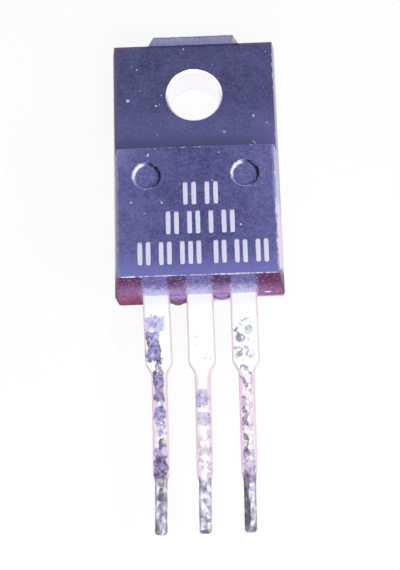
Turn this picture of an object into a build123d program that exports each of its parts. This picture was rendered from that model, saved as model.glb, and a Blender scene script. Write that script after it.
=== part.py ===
from build123d import *
import os
from math import radians, tan

# Isolated three-lead power transistor: an epoxy body moulded round a stamped lead frame.
# Millimetres. The mounting base is the plane Z = 0 and +Z comes out of the marked front
# face. +Y points to the exposed tab, the leads run towards -Y, and the origin is on the
# axis of the mounting hole.

# Moulded body
body_width = 9.9  # across the parting line
body_top = 3.55  # hole axis to the tab end, at the parting line
body_bottom = 12.35  # hole axis to the lead end, at the parting line
parting_height = 1.3  # parting line above the mounting base
plate_thickness = 2.7  # thin part with the mounting hole
block_thickness = 4.2  # thick part over the die
step_distance = 4.05  # hole axis to the front edge of the step
step_foot_radius = 0.15
front_draft = 7.0  # degrees, from the parting line to the front face
rear_draft = 3.5  # degrees, from the parting line to the mounting base
step_draft = 7.0  # degrees
lower_corner_radius = 0.2  # corners beside the leads
upper_corner_radius = 0.12  # corners beside the tab
edge_radius = 0.07  # broken edges of the front faces
hole_radius = 1.6  # mounting hole
hole_mouth_chamfer = 0.1  # at the hole's front mouth
recess_radius = 0.8  # ejector-pin recesses
recess_depth = 0.17
recess_spacing = 5.7  # between the two recess centres
recess_below_step = 1.77  # step edge to the recess centres
flash_reaches = (0.45, 0.2)  # flash left and right of the middle lead, beyond the parting line
flash_root = 0.5  # where the flash joins the body

# Lead frame: header and leads are one flat strip of two gauges, flush at the front
header_cover = 0.4  # epoxy between the header and the mounting base
header_thickness = 1.3
side_cover = 0.8  # epoxy beside the header, at the parting line
top_cover = 0.55  # epoxy above the header
hole_cover = 0.7  # epoxy lining between the mounting hole and the header
header_corner_radius = 0.5
lead_embedding = 3.05  # header's lower edge to the body's lead end
tab_width = 6.0  # where the tab leaves the body
tab_tip_width = 4.9
tab_reach = 0.97  # tab beyond the body's end
lead_thickness = 0.45
lead_pitch = 2.54
lead_length = 13.8  # body's end to the tips
root_length = 4.05  # wide part of a lead outside the body
root_width = 1.56
shoulder_length = 0.5
pin_width = 0.9
neck_length = 0.4  # where a pin narrows to its end
end_length = 2.95  # narrow end of a pin
end_width = 0.68
tip_radius = 0.12
post_gap = 0.5  # header's lower edge to the bond posts
post_width = 2.1
post_length = 1.3
post_corner_radius = 0.2

# Die and bond wires
die_size = 2.2
die_thickness = 0.25
die_above_edge = 2.3  # header's lower edge to the die's centre
solder_thickness = 0.05
solder_margin = 0.15  # solder beyond the die on each side
pad_offset = 0.55  # bond pads from the die's centre, sideways
pad_drop = 0.5  # bond pads from the die's centre, towards the leads
wire_loop_height = 0.9  # top of a wire's loop above the die
wire_loop_share = 0.2  # of a wire's span, from its first foot to the top of its loop
base_wire_radius = 0.09
emitter_wire_radius = 0.15
foot_length = 0.75  # flattened bond at each end of a wire
foot_tail = 0.1  # end of the bond beyond the round wire
foot_width_ratio = 3.0  # to the wire's radius
foot_height_ratio = 1.0  # to the wire's radius
wire_bend_ratio = 2.0  # inner bends of a wire, to its radius
wire_lift = 0.03  # between the wire and what it is bonded to, inside the foot

# Places that follow from the sizes above
front_inset = tan(radians(front_draft)) * (block_thickness - parting_height)
rear_inset = tan(radians(rear_draft)) * parting_height
step_foot = -step_distance + tan(radians(step_draft)) * (block_thickness - plate_thickness)
header_front = header_cover + header_thickness
header_top = body_top - top_cover
header_bottom = -body_bottom + lead_embedding
header_width = body_width - 2 * side_cover
lead_back = header_front - lead_thickness
post_top = header_bottom - post_gap
post_centre = post_top - post_length / 2
die_centre = header_bottom + die_above_edge
die_back = header_front + solder_thickness
die_front = die_back + die_thickness
pad_centre = die_centre - pad_drop
overrun = 1.0  # how far cutting shapes pass the faces that they cut

os.makedirs("parts", exist_ok=True)


def draw_body_outline(inset):
    """Outline of the body at one height, drawn in from the parting line by inset."""
    low, high = inset - body_bottom, body_top - inset
    with Locations((0, (low + high) / 2)):
        outline = Rectangle(body_width - 2 * inset, high - low)
    corners = outline.vertices().group_by(Axis.Y)
    fillet(corners[0], lower_corner_radius)
    fillet(corners[-1], upper_corner_radius)


def draw_lead(inner_end):
    """Outline of one lead from its inner end: wide root, shoulders, pin and narrow end."""
    shoulder = -body_bottom - root_length
    pin_top = shoulder - shoulder_length
    tip = -body_bottom - lead_length
    end_top = tip + end_length
    with BuildLine() as edge:
        Polyline(
            (0, inner_end),
            (root_width / 2, inner_end),
            (root_width / 2, shoulder),
            (pin_width / 2, pin_top),
            (pin_width / 2, end_top + neck_length),
            (end_width / 2, end_top),
            (end_width / 2, tip),
            (0, tip),
        )
        mirror(about=Plane.YZ)
    outline = make_face(edge.line)
    fillet(outline.vertices().group_by(Axis.Y)[0], tip_radius)


def draw_side_lead():
    """Outline of a side lead: a lead with a bond post across its inner end."""
    draw_lead(post_centre)
    with Locations((0, post_centre)):
        post = Rectangle(post_width, post_length)
    fillet(post.vertices(), post_corner_radius)


def add_bond_wire(side, radius):
    """Bond wire from the die to the lead on the given side, -1 left or 1 right."""
    pad = Vector(side * pad_offset, pad_centre, 0)
    post = Vector(side * lead_pitch, post_centre, 0)
    run = post - pad
    span = run.length
    foot = foot_length / 2
    tail = foot - foot_tail
    rest = radius + wire_lift
    with BuildLine(Plane(origin=pad, x_dir=run, z_dir=run.cross(Vector(0, 0, 1)))) as path:
        FilletPolyline(
            (-tail, die_front + rest),
            (foot, die_front + rest),
            (foot + wire_loop_share * span, die_front + wire_loop_height),
            (span - foot, header_front + rest),
            (span + tail, header_front + rest),
            radius=wire_bend_ratio * radius,
        )
    with BuildSketch(Plane(origin=path.line @ 0, z_dir=path.line % 0)) as section:
        Circle(radius)
    sweep(section.sketch, path=path.line)
    for centre, seat in ((pad, die_front), (post, header_front)):
        with BuildSketch(Plane(origin=(centre.X, centre.Y, seat), x_dir=run)) as flat:
            SlotOverall(foot_length, foot_width_ratio * radius)
        extrude(flat.sketch, amount=foot_height_ratio * radius)


with BuildPart() as collector_frame:
    with BuildSketch(Plane.XY.offset(header_cover)):
        with Locations((0, (header_top + header_bottom) / 2)):
            header = Rectangle(header_width, header_top - header_bottom)
        fillet(header.vertices(), header_corner_radius)
        with BuildLine():
            tab_foot = header_top - header_corner_radius
            tab_tip = body_top + tab_reach
            Polyline(
                (-tab_width / 2, tab_foot),
                (-tab_width / 2, body_top),
                (-tab_tip_width / 2, tab_tip),
                (tab_tip_width / 2, tab_tip),
                (tab_width / 2, body_top),
                (tab_width / 2, tab_foot),
                close=True,
            )
        make_face()
        Circle(hole_radius + hole_cover, mode=Mode.SUBTRACT)
    extrude(amount=header_thickness)
    with BuildSketch(Plane.XY.offset(lead_back)):
        draw_lead(header_bottom + header_corner_radius)
    extrude(amount=lead_thickness)
collector_frame.part.label = "collector_frame"
export_step(collector_frame.part, "parts/collector_frame.step")

with BuildPart() as base_lead:
    with BuildSketch(Plane((-lead_pitch, 0, lead_back))):
        draw_side_lead()
    extrude(amount=lead_thickness)
base_lead.part.label = "base_lead"
export_step(base_lead.part, "parts/base_lead.step")

with BuildPart() as emitter_lead:
    with BuildSketch(Plane((lead_pitch, 0, lead_back))):
        draw_side_lead()
    extrude(amount=lead_thickness)
emitter_lead.part.label = "emitter_lead"
export_step(emitter_lead.part, "parts/emitter_lead.step")

with BuildPart() as die_solder:
    with BuildSketch(Plane((0, die_centre, header_front))):
        Rectangle(die_size + 2 * solder_margin, die_size + 2 * solder_margin)
        fillet(vertices(), solder_margin)
    extrude(amount=solder_thickness)
die_solder.part.label = "die_solder"
export_step(die_solder.part, "parts/die_solder.step")

with BuildPart() as silicon_die:
    with BuildSketch(Plane((0, die_centre, die_back))):
        Rectangle(die_size, die_size)
    extrude(amount=die_thickness)
silicon_die.part.label = "silicon_die"
export_step(silicon_die.part, "parts/silicon_die.step")

with BuildPart() as base_bond_wire:
    add_bond_wire(-1, base_wire_radius)
base_bond_wire.part.label = "base_bond_wire"
export_step(base_bond_wire.part, "parts/base_bond_wire.step")

with BuildPart() as emitter_bond_wire:
    add_bond_wire(1, emitter_wire_radius)
emitter_bond_wire.part.label = "emitter_bond_wire"
export_step(emitter_bond_wire.part, "parts/emitter_bond_wire.step")

with BuildPart() as body_moulding:
    # Both halves of the mould narrow from the parting line towards their flat faces
    with BuildSketch(Plane.XY.offset(parting_height)):
        draw_body_outline(0)
    with BuildSketch(Plane.XY.offset(block_thickness)):
        draw_body_outline(front_inset)
    loft(ruled=True)
    with BuildSketch(Plane.XY):
        draw_body_outline(rear_inset)
    with BuildSketch(Plane.XY.offset(parting_height)):
        draw_body_outline(0)
    loft(ruled=True)
    # Step down to the thin plate round the mounting hole
    with BuildSketch(Plane.YZ) as step_profile:
        with BuildLine():
            Polyline(
                (-step_distance, block_thickness + overrun),
                (-step_distance, block_thickness),
                (step_foot, plate_thickness),
                (body_top + overrun, plate_thickness),
                (body_top + overrun, block_thickness + overrun),
                close=True,
            )
        make_face()
        corner = (step_foot, plate_thickness, 0)
        fillet(step_profile.vertices().sort_by_distance(corner)[0], step_foot_radius)
    extrude(amount=body_width, both=True, mode=Mode.SUBTRACT)
    # Broken edges round the block's and the plate's front faces
    plate_front, block_front = body_moulding.faces().filter_by(Axis.Z).sort_by(Axis.Z)[1:]
    outer_edges = plate_front.edges().sort_by(Axis.Y)[1:]
    fillet(block_front.edges() + outer_edges, edge_radius)
    # Mounting hole, chamfered where the screw enters
    with Locations((0, 0, plate_thickness)):
        Hole(hole_radius)
    round_edges = body_moulding.edges().filter_by(GeomType.CIRCLE)
    chamfer(round_edges.sort_by_distance((0, 0, plate_thickness))[0], hole_mouth_chamfer)
    # Ejector-pin recesses
    with Locations((0, -step_distance - recess_below_step, block_thickness)):
        with GridLocations(recess_spacing, 0, 2, 1):
            Hole(recess_radius, recess_depth)
    # Flash that crept out between the leads, in the plane of the lead frame
    gap_width = lead_pitch - root_width
    for side, reach in zip((-1, 1), flash_reaches):
        with BuildSketch(Plane((side * lead_pitch / 2, -body_bottom, lead_back))):
            with Locations((0, flash_root / 2)):
                Rectangle(gap_width, flash_root)
            with BuildLine():
                ThreePointArc((-gap_width / 2, 0), (0, -reach), (gap_width / 2, 0))
                Line((-gap_width / 2, 0), (gap_width / 2, 0))
            make_face()
        extrude(amount=lead_thickness)
    # Room for what is moulded in
    for insert in (
        collector_frame, base_lead, emitter_lead, die_solder, silicon_die,
        base_bond_wire, emitter_bond_wire,
    ):
        add(insert.part, mode=Mode.SUBTRACT)
body_moulding.part.label = "body_moulding"
export_step(body_moulding.part, "parts/body_moulding.step")
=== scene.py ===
"""Finishes, leads, marks and wear of a power transistor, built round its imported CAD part.

The CAD part gives the frame: the origin is on the axis of the mounting hole, +Z comes out of
the marked front and the leads run towards -Y. Lengths here are millimetres, and only
node_box, Skin.write, Graph and Studio turn them from or into metres.
"""

import logging
from dataclasses import dataclass, field
from enum import Enum, IntEnum
from math import cos, radians, sin

import bpy
import numpy as np
from mathutils import Matrix, Vector


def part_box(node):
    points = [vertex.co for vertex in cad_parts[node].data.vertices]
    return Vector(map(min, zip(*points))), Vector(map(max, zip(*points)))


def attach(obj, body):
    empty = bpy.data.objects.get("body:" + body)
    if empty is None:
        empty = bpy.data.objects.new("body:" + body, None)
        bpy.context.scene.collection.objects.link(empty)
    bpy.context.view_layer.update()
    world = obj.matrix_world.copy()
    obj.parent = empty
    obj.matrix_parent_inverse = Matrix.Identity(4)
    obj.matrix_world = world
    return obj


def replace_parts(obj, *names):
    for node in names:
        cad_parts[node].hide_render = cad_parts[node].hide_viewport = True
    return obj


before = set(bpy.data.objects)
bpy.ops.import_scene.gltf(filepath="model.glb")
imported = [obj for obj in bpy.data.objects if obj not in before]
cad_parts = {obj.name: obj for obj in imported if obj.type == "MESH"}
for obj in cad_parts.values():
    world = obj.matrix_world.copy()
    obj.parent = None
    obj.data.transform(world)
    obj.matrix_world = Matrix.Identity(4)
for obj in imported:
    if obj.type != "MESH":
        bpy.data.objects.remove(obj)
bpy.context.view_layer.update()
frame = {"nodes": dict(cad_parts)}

log = logging.getLogger("transistor")
MM = 0.001  # metres in a millimetre
BODY = "root"
Colour = tuple[int, int, int]
Palette = tuple[tuple[float, Colour], ...]


class Slot(Enum):
    """Material slots of the part."""

    EPOXY = "epoxy"
    TINNED = "tinned_copper"


class Seed(IntEnum):
    """Seeds of everything random, one for each use."""

    SOLDER_LUMPS = 11
    SOLDER_GRAIN = 12
    TARNISH_ALONG = 21
    TARNISH_ASIDE = 22
    SHEARED_TAB = 31
    TAB_TONE = 33
    RAGGED_BORDER = 41
    LEAD_EDGE = 51
    RIGHT_LOW_EDGE = 52
    LEFT_EDGE = 53
    PLATE_EDGE = 54
    STEP_EDGE = 55
    STEP_CHIP = 56
    RIGHT_HIGH_EDGE = 57
    STREWN_DUST = 61


def linear(colour: Colour) -> tuple[float, float, float, float]:
    """Turns a display colour into the linear colour that shaders use.

    Args:
        colour: red, green and blue from 0 to 255.

    Returns:
        Linear red, green, blue and an alpha of 1.
    """
    share = np.array(colour) / 255
    light = np.where(share <= 0.04045, share / 12.92, ((share + 0.055) / 1.055) ** 2.4)
    return (*light.tolist(), 1.0)


def node_box(node: str) -> tuple[np.ndarray, np.ndarray]:
    """Lowest and highest corner of a CAD node, in millimetres."""
    low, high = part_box(node)
    return np.array(low) / MM, np.array(high) / MM


@dataclass(frozen=True)
class RandomField:
    """Smooth random values in space, the same on every run."""

    seed: int
    cells: int = 32

    def at(self, points: np.ndarray, scale: float) -> np.ndarray:
        """Works out the field at some points.

        Random values stand on a cubic lattice, and a point mixes the eight values round it,
        each weighed by the smoothstep 3t^2 - 2t^3 of the point's place in its cell.

        Args:
            points: array of points whose last axis is x, y, z in millimetres.
            scale: lattice cells per millimetre.

        Returns:
            One value from -1 to 1 for each point.
        """
        table = np.random.default_rng(self.seed).uniform(-1, 1, (self.cells,) * 3)
        place = np.asarray(points, float) * scale
        low = np.floor(place).astype(int)
        part = place - low
        part = part * part * (3 - 2 * part)
        total = np.zeros(place.shape[:-1])
        for corner in np.ndindex(2, 2, 2):
            cell = (low + corner) % self.cells
            weight = np.prod(np.where(np.array(corner) == 1, part, 1 - part), axis=-1)
            total += weight * table[cell[..., 0], cell[..., 1], cell[..., 2]]
        return total

    def layered(self, points: np.ndarray, scale: float, layers: int = 3) -> np.ndarray:
        """Sum of fields, each twice as fine and half as strong as the one before."""
        return sum(self.at(points, scale * 2**n) / 2**n for n in range(layers))


def smooth(value: np.ndarray, low: float, high: float) -> np.ndarray:
    """Smoothstep of value: 0 below low, 1 above high."""
    part = np.clip((value - low) / (high - low), 0, 1)
    return part * part * (3 - 2 * part)


def blend(start: float, stop: float, share: np.ndarray) -> np.ndarray:
    """Value between start and stop, at share 0 to 1 of the way."""
    return start + (stop - start) * share


class Skin:
    """Closed surfaces gathered into one mesh, with named values on their points."""

    def __init__(self, name: str) -> None:
        """Starts an empty skin of that name."""
        self.name = name
        self.points: list[np.ndarray] = []
        self.faces: list[list[int]] = []
        self.values: dict[str, list[np.ndarray]] = {}
        self.count = 0

    def add(self, rings: np.ndarray, looped: bool = False, **values: np.ndarray) -> None:
        """Adds one closed surface made of rings of points.

        Each ring closes on itself. The rings follow each other along the surface, and its
        two ends are closed by a fan round the mean of the end ring, unless it is looped.

        Args:
            rings: array of rings by points round a ring by x, y, z in millimetres.
            looped: True if the last ring joins the first.
            values: one number for each point, as rings by points round a ring.
        """
        along, around = rings.shape[:2]
        index = np.arange(along * around).reshape(along, around)
        following = np.roll(index, -1, axis=0) if looped else index[1:]
        first = index if looped else index[:-1]
        quads = np.stack(
            [first, np.roll(first, -1, 1), np.roll(following, -1, 1), following], -1
        ).reshape(-1, 4)
        points = rings.reshape(-1, 3)
        flat = {name: value.reshape(-1) for name, value in values.items()}
        fans = np.zeros((0, 3), int)
        if not looped:
            ends = np.array([along * around, along * around + 1])
            points = np.vstack([points, rings[0].mean(0), rings[-1].mean(0)])
            near = np.stack([np.roll(index[0], -1), index[0], np.full(around, ends[0])], -1)
            far = np.stack([index[-1], np.roll(index[-1], -1), np.full(around, ends[1])], -1)
            fans = np.vstack([near, far])
            flat = {
                name: np.append(value, [values[name][0].mean(), values[name][-1].mean()])
                for name, value in flat.items()
            }
        corners = points[quads]
        volume = np.einsum(
            "ij,ij->", corners[:, 0], np.cross(corners[:, 1], corners[:, 2])
        ) + np.einsum("ij,ij->", corners[:, 0], np.cross(corners[:, 2], corners[:, 3]))
        if volume < 0:
            quads, fans = quads[:, ::-1], fans[:, ::-1]
        self.faces += (quads + self.count).tolist() + (fans + self.count).tolist()
        self.points.append(points)
        for name, value in flat.items():
            self.values.setdefault(name, []).append(value)
        self.count += len(points)

    def write(self, material: bpy.types.Material, slot: Slot) -> bpy.types.Object:
        """Makes the mesh object, which rides on the part.

        Args:
            material: the finish of the whole piece.
            slot: the record's material slot for the piece; not used.

        Returns:
            The new object, at the origin, with its place in its mesh.
        """
        mesh = bpy.data.meshes.new(self.name)
        mesh.from_pydata((np.vstack(self.points) * MM).tolist(), [], self.faces)
        mesh.validate()
        for name, parts in self.values.items():
            layer = mesh.attributes.new(name, "FLOAT", "POINT")
            layer.data.foreach_set("value", np.concatenate(parts).astype(np.float32))
        mesh.shade_smooth()
        mesh.materials.append(material)
        piece = bpy.data.objects.new(self.name, mesh)
        bpy.context.scene.collection.objects.link(piece)
        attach(piece, BODY)
        log.info("%s: %d points, %d faces", self.name, self.count, len(self.faces))
        return piece


class Value:
    """A number that varies over a surface. Sums and products of values add Math nodes."""

    def __init__(self, graph: "Graph", socket: bpy.types.NodeSocket) -> None:
        """Wraps one output of a node in the graph."""
        self.graph = graph
        self.socket = socket

    def __add__(self, other: object) -> "Value":
        """Sum with a value or a plain number."""
        return self.graph.math("ADD", self, other)

    def __sub__(self, other: object) -> "Value":
        """Difference."""
        return self.graph.math("SUBTRACT", self, other)

    def __rsub__(self, other: float) -> "Value":
        """Difference from a plain number."""
        return self.graph.math("SUBTRACT", other, self)

    def __mul__(self, other: object) -> "Value":
        """Product with a value or a plain number."""
        return self.graph.math("MULTIPLY", self, other)

    def __truediv__(self, other: object) -> "Value":
        """Quotient."""
        return self.graph.math("DIVIDE", self, other)

    def __abs__(self) -> "Value":
        """The value without its sign."""
        return self.graph.math("ABSOLUTE", self)

    __radd__ = __add__
    __rmul__ = __mul__


class Graph:
    """A material's node tree, with short calls for what the finishes use."""

    def __init__(self, name: str) -> None:
        """Starts a material of that name, read in millimetres of the part's frame."""
        self.material = bpy.data.materials.new(name)
        self.material.use_nodes = True
        self.tree = self.material.node_tree
        self.tree.nodes.clear()
        place = self.node("ShaderNodeTexCoord").outputs["Object"]
        self.place = self.vector("SCALE", place, scale=1 / MM)
        axes = self.node("ShaderNodeSeparateXYZ", Vector=self.place)
        self.x, self.y, self.z = (Value(self, socket) for socket in axes.outputs)
        facing = self.node("ShaderNodeNewGeometry").outputs["Normal"]
        axes = self.node("ShaderNodeSeparateXYZ", Vector=facing)
        self.facing_x, self.facing_y, self.facing_z = (
            Value(self, socket) for socket in axes.outputs
        )

    def node(self, kind: str, **inputs: object) -> bpy.types.Node:
        """Adds a node and fills or links its inputs by name, with _ for a space."""
        made = self.tree.nodes.new(kind)
        for name, value in inputs.items():
            self.put(made.inputs[name.replace("_", " ")], value)
        return made

    def put(self, socket: bpy.types.NodeSocket, value: object) -> None:
        """Links a socket to another, or sets its value."""
        if isinstance(value, Value):
            value = value.socket
        if isinstance(value, bpy.types.NodeSocket):
            self.tree.links.new(value, socket)
        else:
            socket.default_value = value

    def math(self, operation: str, *values: object) -> Value:
        """Result of a Math node on one to three values."""
        made = self.node("ShaderNodeMath")
        made.operation = operation
        for socket, value in zip(made.inputs, values):
            self.put(socket, value)
        return Value(self, made.outputs[0])

    def vector(self, operation: str, a: object, scale: float = 1.0) -> bpy.types.NodeSocket:
        """Result of a Vector Math node on one vector."""
        made = self.node("ShaderNodeVectorMath")
        made.operation = operation
        self.put(made.inputs[0], a)
        self.put(made.inputs["Scale"], scale)
        return made.outputs[0]

    def rise(self, value: object, low: object, high: object) -> Value:
        """Smoothstep of value: 0 at low and 1 at high, or falling if high is lower."""
        made = self.node("ShaderNodeMapRange", Value=value, From_Min=low, From_Max=high)
        made.interpolation_type = "SMOOTHSTEP"
        return Value(self, made.outputs["Result"])

    def between(self, value: object, low: float, high: float, soft: float) -> Value:
        """1 where value lies between low and high, 0 outside, with soft borders."""
        return self.rise(value, low - soft, low + soft) * self.rise(value, high + soft, high - soft)

    def spot(self, a: object, b: object, more: object = 0.0) -> Value:
        """Distance from the middle of a spot, sqrt(a^2 + b^2 + more)."""
        return self.math("SQRT", a * a + b * b + more)

    def noise(
        self, scale: float, detail: float = 4.0, roughness: float = 0.6, shift: float = 0.0,
        stretch: tuple[float, float, float] = (1.0, 1.0, 1.0),
    ) -> Value:
        """Noise spread to about 0 to 1.

        Args:
            scale: noise cells per millimetre.
            detail: number of finer layers.
            roughness: strength of each finer layer.
            shift: offset that makes one noise differ from another.
            stretch: factors on x, y and z before the noise is read.

        Returns:
            The spread value.
        """
        moved = self.node(
            "ShaderNodeMapping", Vector=self.place, Location=(shift,) * 3, Scale=stretch
        )
        made = self.node(
            "ShaderNodeTexNoise", Vector=moved.outputs[0], Scale=scale, Detail=detail,
            Roughness=roughness,
        )
        spread = self.node(
            "ShaderNodeMapRange", Value=made.outputs[0], From_Min=0.28, From_Max=0.72
        )
        return Value(self, spread.outputs["Result"])

    def flecks(self, scale: float, size: float, shift: float = 0.0) -> Value:
        """1 in small round flecks, scattered at random, and 0 elsewhere.

        Args:
            scale: cells per millimetre, each with one fleck.
            size: largest radius of a fleck, in cells.
            shift: offset that makes one scatter differ from another.

        Returns:
            The mask.
        """
        moved = self.node("ShaderNodeMapping", Vector=self.place, Location=(shift,) * 3)
        made = self.node("ShaderNodeTexVoronoi", Vector=moved.outputs[0], Scale=scale)
        chance = self.node("ShaderNodeSeparateXYZ", Vector=made.outputs["Color"]).outputs[0]
        radius = self.math("POWER", chance, 4.0) * size
        inside = radius - made.outputs["Distance"]
        return self.rise(inside, 0.0, 0.25 * size)

    def rings(
        self, scale: float, radius: float, width: float, wobble: Value, shift: float = 0.0
    ) -> Value:
        """1 on the outlines of scattered bubbles, and 0 elsewhere.

        Args:
            scale: cells per millimetre, each with one bubble.
            radius: radius of a bubble, in cells.
            width: distance from the outline at which it ends, in cells.
            wobble: what is added to the radius to make it uneven, in cells.
            shift: offset that makes one scatter differ from another.

        Returns:
            The mask.
        """
        moved = self.node("ShaderNodeMapping", Vector=self.place, Location=(shift,) * 3)
        made = self.node("ShaderNodeTexVoronoi", Vector=moved.outputs[0], Scale=scale)
        away = abs(wobble - radius + made.outputs["Distance"])
        return self.rise(away, width, 0.3 * width)

    def mix(self, factor: object, a: object, b: object) -> bpy.types.NodeSocket:
        """Colour a where factor is 0, and b where it is 1."""
        made = self.node("ShaderNodeMix")
        made.data_type = "RGBA"
        made.clamp_factor = True
        self.put(made.inputs[0], factor)
        for socket, colour in zip((made.inputs[6], made.inputs[7]), (a, b)):
            self.put(socket, linear(colour) if isinstance(colour, tuple) else colour)
        return made.outputs[2]

    def ramp(self, value: object, *stops: tuple[float, Colour]) -> bpy.types.NodeSocket:
        """Colour that runs through the stops as value rises from 0 to 1."""
        made = self.node("ShaderNodeValToRGB", Fac=value)
        elements = made.color_ramp.elements
        while len(elements) < len(stops):
            elements.new(0.5)
        for element, (position, colour) in zip(elements, stops):
            element.position = position
            element.color = linear(colour)
        return made.outputs["Color"]

    def reading(self, name: str) -> Value:
        """Value that the mesh carries on its points under that name."""
        made = self.node("ShaderNodeAttribute")
        made.attribute_name = name
        return Value(self, made.outputs["Fac"])

    def surface(
        self, colour: object, roughness: object, metallic: object = 0.0, relief: object = None,
        depth: float = 0.0, **sockets: object,
    ) -> bpy.types.Material:
        """Ends the material with a Principled shader.

        Args:
            colour: base colour.
            roughness: 0 for a mirror to 1 for chalk.
            metallic: share of bare metal.
            relief: height from 0 to 1 that roughens the surface, or None.
            depth: height in millimetres of relief 1.
            sockets: further inputs of the shader, by name.

        Returns:
            The finished material.
        """
        shader = self.node(
            "ShaderNodeBsdfPrincipled", Base_Color=colour, Roughness=roughness,
            Metallic=metallic, **sockets,
        )
        if relief is not None:
            bump = self.node("ShaderNodeBump", Height=relief, Strength=1.0, Distance=depth * MM)
            self.put(shader.inputs["Normal"], bump.outputs[0])
        out = self.node("ShaderNodeOutputMaterial")
        self.tree.links.new(shader.outputs[0], out.inputs[0])
        return self.material


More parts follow.
